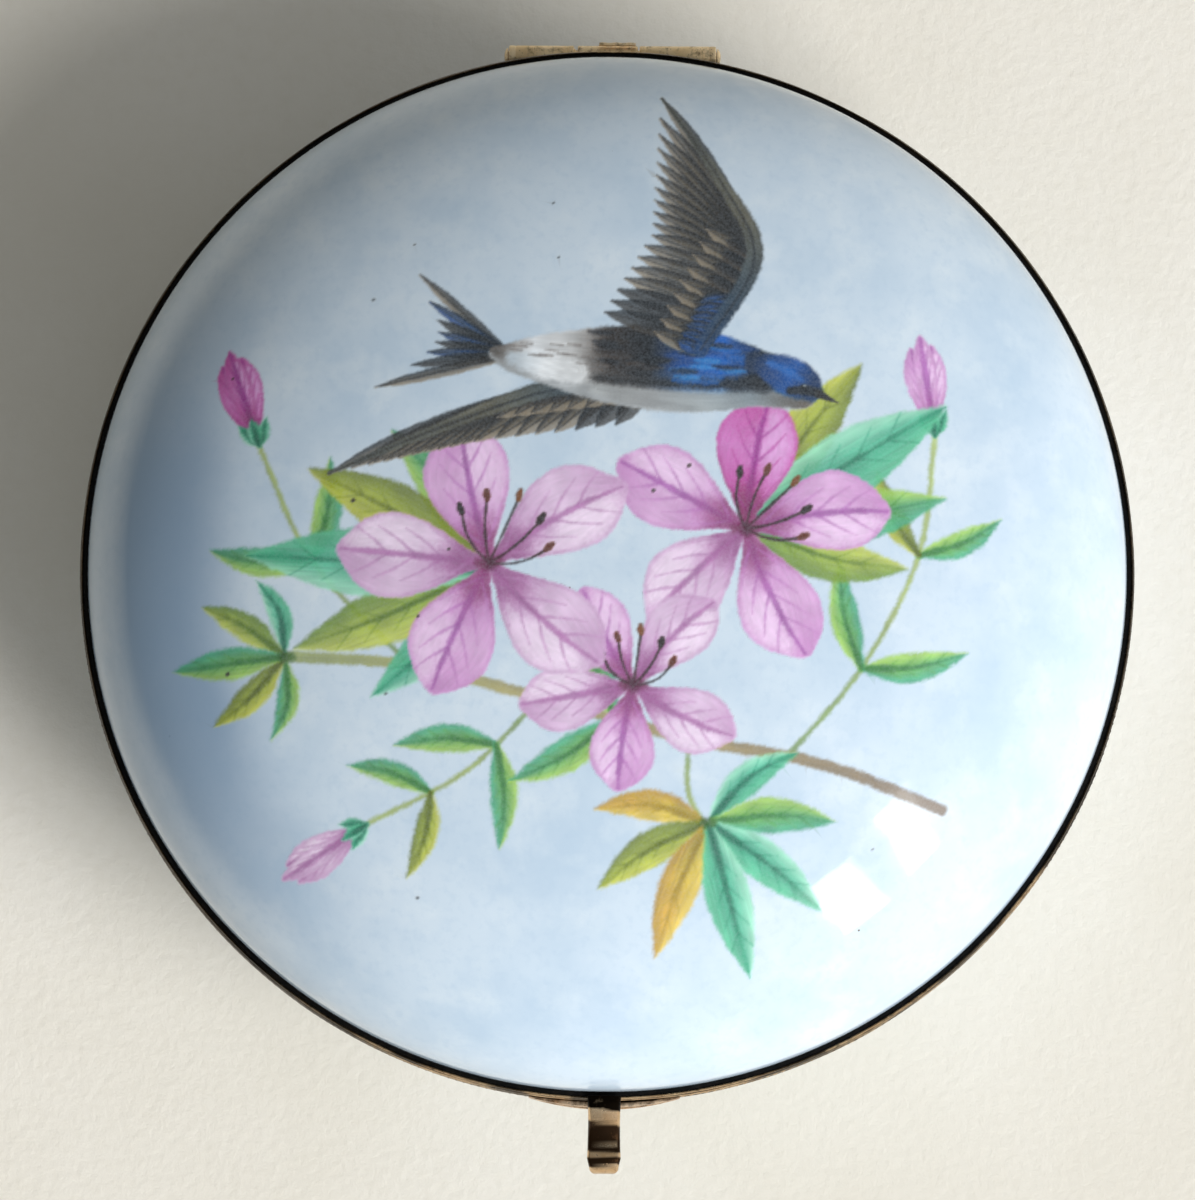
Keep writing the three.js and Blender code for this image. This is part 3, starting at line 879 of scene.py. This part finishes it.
def along_x(name, section, material):
    """Turns a section of radius and place along X about the hinge's axis."""
    rings = []
    for angle in np.linspace(0, math.tau, 64, endpoint=False):
        rings.append([(x, HINGE_Y + r * math.sin(angle), PARTING + r * math.cos(angle)) for r, x in section])
    return make_piece(name, *skin(rings, joined=True), material)


def knuckle(name, span, material):
    """A rolled tube with softened ends and two shallow turned lines near them."""
    start, end = span
    soft, line = 0.08, 0.03
    outer = KNUCKLE_RADIUS
    tip = [(KNUCKLE_BORE, 0), (outer - soft, 0), (outer - 0.02, 0.03), (outer, soft)]
    section = [(radius, start + inward) for radius, inward in tip]
    for place in (start + 0.42, end - 0.42):
        section += [(outer, place - 0.05), (outer - line, place), (outer, place + 0.05)]
    section += [(radius, end - inward) for radius, inward in tip[::-1]]
    return along_x(name, section, material)


def pin(material):
    """The hinge's pin, its ends peened into low domes."""
    start, end = KNUCKLES[0][0] - 0.05, KNUCKLES[-1][1] + 0.05
    angles = np.linspace(0.02, math.pi / 2, 7)
    head = [(PIN_HEAD_RADIUS * math.sin(angle), PIN_HEAD * math.cos(angle)) for angle in angles]
    section = [(radius, start - depth) for radius, depth in head]
    section += [(PIN_RADIUS, start), (PIN_RADIUS, end)]
    section += [(radius, end + depth) for radius, depth in head[::-1]]
    return along_x("pin_peened", section, material)


def hinge_plate(name, span, outside, thickness, low, high, material, gap=None):
    """A leaf of the hinge, a thin plate with softened edges. A gap is the start, end and top of a lower
    stretch."""
    rings = []
    for share in np.linspace(0, 1, 121):
        x = span[0] + (span[1] - span[0]) * share
        top = gap[2] if gap and gap[0] < x < gap[1] else high
        pinch = 1 - 0.06 * (abs(share - 0.5) * 2) ** 12
        outline = rounded(thickness * pinch, (top - low) * pinch, thickness * 0.27)
        middle = outside - thickness / 2 + 0.015 * math.sin(share * 17)
        rings.append([(x, middle + across, PARTING + (low + top) / 2 + up) for across, up in outline])
    return make_piece(name, *skin(rings, joined=False), material)


def clasp_plate(name, bulge, low, high, material):
    """A crescent on the front of a bezel, thickest in the middle, with soft edges and dirt at its root."""
    rings = []
    spread = math.asin(CLASP_HALF_WIDTH / SEAM_RADIUS)
    for share in np.linspace(-1, 1, 61):
        angle = spread * share - math.pi / 2
        depth = CLASP_EDGE + (bulge - CLASP_EDGE) * (1 - share ** 2)
        outline = rounded(depth, high - low, min(depth, high - low) * 0.3)
        radius, height = SEAM_RADIUS + depth / 2, PARTING + (low + high) / 2
        rings.append([((radius + across) * math.cos(angle), (radius + across) * math.sin(angle), height + up)
                      for across, up in outline])
    points, faces = skin(rings, joined=False)
    away = radius_of(points) - SEAM_RADIUS
    grime = 1 - ramp(away + 0.1 * (noise(points[:, 0], points[:, 2] * 3, 17) - 0.5), 0.05, 0.12)
    return make_piece(name, points, flipped(faces), material, {"grime": grime})


def thumb_strip():
    """An S-curved strip, arched across, that narrows towards its rounded end."""
    line = smooth_line(THUMB_PATH, 10)
    ahead = np.gradient(line, axis=0)
    ahead /= np.linalg.norm(ahead, axis=1)[:, None]
    rings = []
    for share, (out, up), (forward, rise) in zip(np.linspace(0, 1, len(line)), line, ahead):
        rounding = 1 - math.sqrt(max(0.0, 1 - max(0.0, (share - 0.9) / 0.1) ** 2))
        waist = 1 - 0.05 * math.sin(math.pi * min(share / 0.7, 1)) - 0.12 * ramp(share, 0.7, 0.9)
        waist -= 0.32 * rounding
        thick = THUMB_THICKNESS * (1 - 0.45 * rounding)
        arch = [(across, lift - 0.16 * across ** 2)
                for across, lift in rounded(THUMB_WIDTH * waist, thick, thick * 0.42, 6)]
        rings.append([(across, -(out - rise * lift), PARTING + up + forward * lift) for across, lift in arch])
    return skin(rings, joined=False)


def tongue():
    """The springy tongue below the strip, with a small swelling that snaps over the base's crescent."""
    rings = []
    for height in np.linspace(-1.2, 1.7, 24):
        tip = max(0.0, (-0.85 - height) / 0.35)
        snap = 0.05 * math.exp(-((height + 0.75) / 0.22) ** 2)
        outline = rounded(TONGUE_WIDTH * (1 - 0.25 * tip ** 2), TONGUE_THICKNESS * (1 - 0.3 * tip ** 2), 0.09)
        middle = TONGUE_OUT + TONGUE_THICKNESS / 2 - snap
        rings.append([(-across, -(middle + lift), PARTING + height) for across, lift in outline])
    return skin(rings, joined=False)


def thumb_marks(points):
    """Solder at the root, and black in the hollow and on the roll, tarnish and painted dark reflection
    together, except for a spot left bright as a painted highlight.
    """
    x, y, z = points.T
    out = -y + 0.5 * (noise(x * 2, y, 12) - 0.5) - 0.1 * x ** 2
    (hollow, hollow_end), (roll, roll_end) = THUMB_HOLLOW, THUMB_ROLL
    # The black in the hollow and on the roll is tarnish and painted dark reflection.
    black = ramp(out, hollow, hollow + 0.2) * (1 - ramp(out, hollow_end, hollow_end + 0.12))
    black += ramp(out, roll, roll + 0.1) * (1 - ramp(out, roll_end, roll_end + 0.1))
    # A painted highlight: the black is left off a spot in the hollow, so that bright brass shows there.
    highlight = np.exp(-((x - PAINTED_HIGHLIGHT_SPOT[0]) / 0.32) ** 2 - ((y + PAINTED_HIGHLIGHT_SPOT[1]) / 0.42) ** 2)
    tarnish_and_painted_light = black * (1 - ramp(highlight, 0.25, 0.5)) * (z > PARTING - 0.2)
    return {"grime": 1 - ramp(out, 33.3, 33.6), "tarnish_and_painted_light": tarnish_and_painted_light}


def thumb_piece(material):
    points, faces = thumb_strip()
    more_points, more_faces = tongue()
    faces += [[corner + len(points) for corner in face] for face in more_faces]
    points = np.vstack([points, more_points])
    return make_piece("thumb_curl", points, faces, material, thumb_marks(points))


# Materials

class Finish:
    """A material, and short ways to add the nodes that colour it."""

    def __init__(self, name, **surface):
        self.material = bpy.data.materials.new(name)
        self.material.use_nodes = True
        self.tree = self.material.node_tree
        self.shader = self.tree.nodes["Principled BSDF"]
        for socket, value in surface.items():
            self.shader.inputs[socket.replace("_", " ")].default_value = value
        self.place = self.add("TexCoord").outputs["Object"]

    def add(self, kind, settings=(), **inputs):
        node = self.tree.nodes.new("ShaderNode" + kind)
        for key, value in settings:
            setattr(node, key, value)
        for key, value in inputs.items():
            self.join(value, node.inputs[key.replace("_", " ")])
        return node

    def join(self, value, socket):
        if isinstance(value, bpy.types.NodeSocket):
            self.tree.links.new(value, socket)
        else:
            socket.default_value = value

    def cloud(self, size, detail, rough=0.55):
        """Noise with features of this size in millimetres."""
        settings = {"Scale": 1 / (size * MM), "Detail": detail, "Roughness": rough}
        return self.add("TexNoise", Vector=self.place, **settings).outputs["Fac"]

    def spots(self, size):
        """0 at the middle of each of many scattered spots, and 1 between them."""
        return self.add("TexVoronoi", Vector=self.place, Scale=1 / (size * MM)).outputs["Distance"]

    def reach(self, value, low, high, start=0.0, end=1.0):
        node = self.add("MapRange", Value=value, From_Min=low, From_Max=high, To_Min=start, To_Max=end)
        return node.outputs["Result"]

    def clouds(self, size, detail, low, high, start=0.0, end=1.0):
        """Noise whose values from low to high become start to end."""
        return self.reach(self.cloud(size, detail), low, high, start, end)

    def maths(self, operation, a, b):
        node = self.add("Math", (("operation", operation), ("use_clamp", True)))
        self.join(a, node.inputs[0])
        self.join(b, node.inputs[1])
        return node.outputs[0]

    def mix(self, a, b, share):
        node = self.add("Mix", (("data_type", "RGBA"),))
        self.join(share, node.inputs[0])
        self.join(rgba(a), node.inputs[6])
        self.join(rgba(b), node.inputs[7])
        return node.outputs[2]

    def share(self, name, output="Fac"):
        """A value stored at the mesh's points."""
        return self.add("Attribute", (("attribute_name", name),)).outputs[output]

    def bump(self, height, depth, under=None):
        node = self.add("Bump", Height=height, Distance=depth * MM, Strength=1.0)
        if under:
            self.join(under, node.inputs["Normal"])
        return node.outputs["Normal"]

    def done(self, base, rough, normal):
        self.join(base, self.shader.inputs["Base Color"])
        self.join(rough, self.shader.inputs["Roughness"])
        self.join(normal, self.shader.inputs["Normal"])
        return self.material


def rgba(value):
    """A hex code as a colour for a node; sockets pass through."""
    return (*linear(colour(value)), 1.0) if isinstance(value, str) else value


def glaze_ground(finish, tint, cloud):
    """Glaze with soft clouds in its colour, and rare specks."""
    ground = finish.mix(tint, cloud, finish.clouds(7, 4, 0.42, 0.72, 0.0, 0.75))
    ground = finish.mix(ground, GLAZE_PALE, finish.clouds(3.2, 5, 0.5, 0.75, 0.0, 0.4))
    ground = finish.mix(ground, cloud, finish.clouds(0.6, 3, 0.5, 0.8, 0.0, 0.45))
    dots = finish.reach(finish.spots(2.6), 0.02, 0.035, 1.0, 0.0)
    return finish.mix(ground, GLAZE_SPECK, finish.maths("MULTIPLY", dots, finish.clouds(5.3, 1, 0.6, 0.62)))


def glaze_relief(finish):
    """Orange peel and pinholes in the glaze."""
    peel = finish.bump(finish.cloud(2.4, 2), 0.012)
    return finish.bump(finish.reach(finish.spots(1.9), 0.0, 0.05), 0.004, peel)


def make_painted_glaze():
    """Pale blue glaze with the enamel painting on it, a little less glossy there and standing proud."""
    finish = Finish("painted_glaze", **GLAZE_GLOSS)
    # The ground turns darker blue in a crescent inside the left edge: painted shade.
    ground = finish.mix(glaze_ground(finish, GLAZE_TINT, GLAZE_CLOUD), GLAZE_PAINTED_SHADE, finish.share("painted_shade"))
    painted = finish.share("painted")
    paint = finish.maths("MULTIPLY", painted, finish.clouds(0.16, 2, 0.3, 0.75, 0.9, 0.98))
    base = finish.mix(ground, finish.share("ink", "Color"), paint)
    dull = finish.maths("MULTIPLY", painted, 0.12)
    rough = finish.maths("ADD", finish.clouds(1.5, 3, 0.3, 0.7, 0.05, 0.09), dull)
    return finish.done(base, rough, finish.bump(painted, 0.006, glaze_relief(finish)))


def make_plain_glaze(name, tint, cloud):
    finish = Finish(name, **GLAZE_GLOSS)
    rough = finish.clouds(1.5, 3, 0.3, 0.7, 0.08, 0.18)
    return finish.done(glaze_ground(finish, tint, cloud), rough, glaze_relief(finish))


def make_brass(name, clean, worn, dark, blackest, stained, gloss, metal=1.0):
    """Old brass: bright where rubbed, brown where stained, near black where tarnished or dirty. The tarnish
    share also lays painted shade and painted highlights.
    """
    finish = Finish(name, Metallic=metal)
    base = finish.mix(clean, worn, finish.clouds(1.6, 5, 0.35, 0.65))
    stains = finish.reach(finish.cloud(0.55, 6, 0.65), 0.62 - stained, 0.86 - stained)
    base = finish.mix(base, dark, stains)
    # Near black from the tarnish share: tarnish, painted shade and painted dark reflection, left off for
    # painted highlights.
    base = finish.mix(base, blackest, finish.reach(finish.share("tarnish_and_painted_light"), 0.0, 1.0, 0.0, 0.98))
    grime = finish.share("grime")
    dirt = finish.maths("MULTIPLY", grime, finish.clouds(0.9, 4, 0.3, 0.7, 0.7, 1.3))
    base = finish.mix(base, GRIME, finish.reach(dirt, 0.25, 0.8))
    pits = finish.spots(0.28)
    base = finish.mix(base, PIT, finish.maths("MULTIPLY", finish.reach(pits, 0.05, 0.22, 1.0, 0.0), 0.55))
    dull = finish.maths("MULTIPLY", grime, 0.3)
    rough = finish.maths("ADD", finish.clouds(0.35, 4, 0.3, 0.75, gloss, gloss + 0.25), dull)
    scratches = finish.bump(finish.cloud(0.12, 3, 0.7), 0.012)
    return finish.done(base, rough, finish.bump(finish.reach(pits, 0.02, 0.2), 0.02, scratches))


def make_cement_with_painted_shade():
    finish = Finish("cement_with_painted_shade", Specular_IOR_Level=0.15)
    # Near black: the cement's colour, and painted shade in the gap between porcelain and bezel.
    base = finish.mix("040302", "15100b", finish.clouds(0.4, 5, 0.45, 0.75))
    base = finish.mix(base, "3a3228", finish.clouds(0.15, 3, 0.68, 0.8, 0.0, 0.6))
    rough = finish.clouds(0.5, 3, 0.3, 0.7, 0.45, 0.8)
    return finish.done(base, rough, finish.bump(finish.cloud(0.14, 4), 0.04))


def make_paper():
    """Pale paper with soft blotches and fibres, and painted shade that darkens it far from the box."""
    finish = Finish("paper", Specular_IOR_Level=0.3)
    base = finish.mix(PAPER_TINT, PAPER_SHADE, finish.clouds(60, 4, 0.35, 0.7))
    base = finish.mix(base, PAPER_SHADE, finish.clouds(0.9, 5, 0.45, 0.8, 0.0, 0.35))
    away = finish.add("VectorMath", (("operation", "LENGTH"),))
    finish.join(finish.place, away.inputs[0])
    # Painted shade: the paper darkens with distance from the box.
    base = finish.mix(base, PAPER_PAINTED_SHADE_FAR, finish.reach(away.outputs["Value"], 0.07, 0.32))
    rough = finish.clouds(4, 3, 0.3, 0.7, 0.75, 0.9)
    return finish.done(base, rough, finish.bump(finish.cloud(0.7, 5, 0.6), 0.05))


# Light, floor and camera

def aim(thing, place, target, twist=0.0):
    """Puts a light or camera at a place in millimetres, looking at a target, turned about its view."""
    back = (Vector(place) - Vector(target)).normalized()
    side = Vector((0, 1, 0)).cross(back).normalized()
    up = back.cross(side)
    turned = Matrix((side, up, back)).transposed() @ Matrix.Rotation(twist, 3, "Z")
    thing.matrix_world = Matrix.Translation(Vector(place) * MM) @ turned.to_4x4()


def direction(azimuth, height):
    """The way towards an azimuth from +X and a height, in degrees."""
    azimuth, height = math.radians(azimuth), math.radians(height)
    level = math.cos(height)
    return Vector((math.cos(azimuth) * level, math.sin(azimuth) * level, math.sin(height)))


def add_light(name, kind, toward, distance, power, tint, **settings):
    """A light that shines at the middle of the box."""
    middle = Vector((0, 0, 20))
    data = bpy.data.lights.new(name, kind)
    data.energy, data.color = power, tint
    for key, value in settings.items():
        setattr(data, key, value)
    light = show(name, data)
    aim(light, toward * distance + middle, middle)
    return light


def make_lights():
    """Soft daylight from the lower right, and two window panes that show in the glaze."""
    soft, toward = math.radians(36), direction(*SUN_DIRECTION)
    sun = add_light("daylight", "SUN", toward, 500, SUN_POWER, (1.0, 0.985, 0.955), angle=soft)
    sun.visible_glossy = False
    for k, (azimuth, height, width, tall, power) in enumerate(PANES):
        size = {"shape": "RECTANGLE", "size": width * MM, "size_y": tall * MM}
        toward = direction(azimuth, height)
        pane = add_light(f"pane_{k}", "AREA", toward, 600, power, (1.0, 0.99, 0.97), **size)
        pane.rotation_euler.rotate_axis("Z", math.radians(PANE_TWIST))


def make_room():
    """Light from all around, brightest on one side. The camera sees a plain backdrop in its place."""
    world = bpy.data.worlds.new("room")
    world.use_nodes = True
    bpy.context.scene.world = world
    nodes, links = world.node_tree.nodes, world.node_tree.links
    toward = nodes.new("ShaderNodeVectorMath")
    toward.operation = "DOT_PRODUCT"
    toward.inputs[1].default_value = direction(*ROOM_DIRECTION)
    links.new(nodes.new("ShaderNodeTexCoord").outputs["Generated"], toward.inputs[0])
    glow = nodes.new("ShaderNodeValToRGB")
    glow.color_ramp.interpolation = "EASE"
    stops = glow.color_ramp.elements
    for place, tint in ROOM[1:-1]:
        stops.new(place)
    for stop, (place, tint) in zip(stops, ROOM):
        stop.color = (*tint, 1.0)
    scaled = nodes.new("ShaderNodeMapRange")
    scaled.inputs["From Min"].default_value = -1.0
    links.new(toward.outputs["Value"], scaled.inputs["Value"])
    links.new(scaled.outputs["Result"], glow.inputs["Fac"])
    room, backdrop = nodes["Background"], nodes.new("ShaderNodeBackground")
    links.new(glow.outputs["Color"], room.inputs["Color"])
    room.inputs["Strength"].default_value = ROOM_POWER
    backdrop.inputs["Color"].default_value = rgba(BACKDROP)
    seen = nodes.new("ShaderNodeLightPath").outputs["Is Camera Ray"]
    shown = nodes.new("ShaderNodeMixShader")
    for source, socket in zip((seen, room.outputs[0], backdrop.outputs[0]), shown.inputs):
        links.new(source, socket)
    links.new(shown.outputs[0], nodes["World Output"].inputs["Surface"])


def make_floor():
    """A sheet of pale paper, larger than any view of the box, with its edges far away."""
    size, steps = 1600.0, 40
    line = np.linspace(-size, size, steps + 1)
    points = [(x, y, 0.02 * math.sin(x / 90) * math.cos(y / 70) - 0.14) for y in line for x in line]
    row = steps + 1
    corners = [j * row + i for j in range(steps) for i in range(steps)]
    faces = [(corner, corner + 1, corner + row + 1, corner + row) for corner in corners]
    make_piece("paper", points, faces, make_paper(), crease=40)


def make_camera():
    data = bpy.data.cameras.new("camera")
    data.sensor_fit, data.sensor_width, data.lens = "HORIZONTAL", 36.0, CAMERA_LENS
    data.clip_start, data.clip_end = 0.01, 20.0
    camera = show("camera", data)
    target, tilt = Vector(CAMERA_TARGET), math.radians(CAMERA_TILT)
    place = target + Vector((0, -math.sin(tilt), math.cos(tilt))) * CAMERA_DISTANCE
    aim(camera, place, target, math.radians(CAMERA_ROLL))
    bpy.context.scene.camera = camera


def make_finishes():
    """Every finish by name. A brass has its bright, worn, brown and black colours, then how stained, dull and
    metallic it is."""
    return {
        "painted": make_painted_glaze(),
        "inner": make_plain_glaze("plain_glaze", "ccdae4", "bfd0de"),
        "outer": make_plain_glaze("bowl_glaze", GLAZE_TINT, GLAZE_CLOUD),
        "cement": make_cement_with_painted_shade(),
        "threads": make_brass("bezel_brass", "e8caa0", "b8946a", "3a2816", "14110d", 0.12, 0.2),
        "fitting": make_brass("fitting_brass", "f2d8ba", "d2a880", "4a3020", "2b1c10", 0.16, 0.2),
        "polished": make_brass("polished_brass", "e8cdaa", "d2ae84", "7a5636", "2b190c", 0.02, 0.06),
        "pitted": make_brass("pitted_brass", "fbe6c0", "e8cc9c", "5a4428", "2b1c10", 0.1, 0.42, 0.55),
        "collar": make_brass("collar_brass", "e2c078", "cfa660", "7a5a2c", "2b1c10", 0.02, 0.18),
    }


def lid_pieces(finish):
    """The lid's pieces, each with the CAD node it stands for and its slot."""
    return (
        (porcelain_lid(finish["painted"], finish["inner"]), "lid_dome", "lid_glaze"),
        (cement("lid_cement_shade_line", 1, finish["cement"]), "lid_cement", "cement"),
        (bezel("lid_bezel_threads", LID_FLANGE_RADIUS, 1, finish["threads"]), "lid_bezel", "brass"),
        (hinge_plate("lid_hinge_leaf", *LID_LEAF, finish["pitted"]), "lid_hinge_plate", "brass"),
        (knuckle("middle_knuckle", KNUCKLES[1], finish["pitted"]), "lid_knuckle", "brass"),
        (clasp_plate("lid_clasp_crescent", *LID_CRESCENT, finish["fitting"]), "lid_clasp_plate", "brass"),
        (thumb_piece(finish["polished"]), "thumb_piece", "brass"),
    )


def base_pieces(finish):
    """The base's pieces, each with the CAD node it stands for and its slot."""
    return (
        (porcelain_bowl(finish["outer"]), "base_bowl", "base_glaze"),
        (cement("base_cement_shade_line", -1, finish["cement"]), "base_cement", "cement"),
        (bezel("base_bezel_threads", BASE_FLANGE_RADIUS, -1, finish["threads"]), "base_bezel", "brass"),
        (collar(finish["collar"]), "base_collar", "brass"),
        (hinge_plate("base_hinge_leaf", *BASE_LEAF, finish["pitted"], LEAF_GAP), "base_hinge_plate", "brass"),
        (knuckle("left_knuckle", KNUCKLES[0], finish["pitted"]), "base_knuckle_left", "brass"),
        (knuckle("right_knuckle", KNUCKLES[2], finish["pitted"]), "base_knuckle_right", "brass"),
        (pin(finish["pitted"]), "hinge_pin", "brass"),
        (clasp_plate("base_clasp_crescent", *BASE_CRESCENT, finish["fitting"]), "base_clasp_plate", "brass"),
    )


def assemble():
    """Every piece on the body it rides on."""
    finish = make_finishes()
    for body, pieces in (("lid", lid_pieces(finish)), ("base", base_pieces(finish))):
        for piece, node, slot in pieces:
            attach(piece, body)
            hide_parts(node)


assemble()
make_floor()
make_lights()
make_room()
make_camera()
bpy.context.scene.view_settings.view_transform = "Standard"
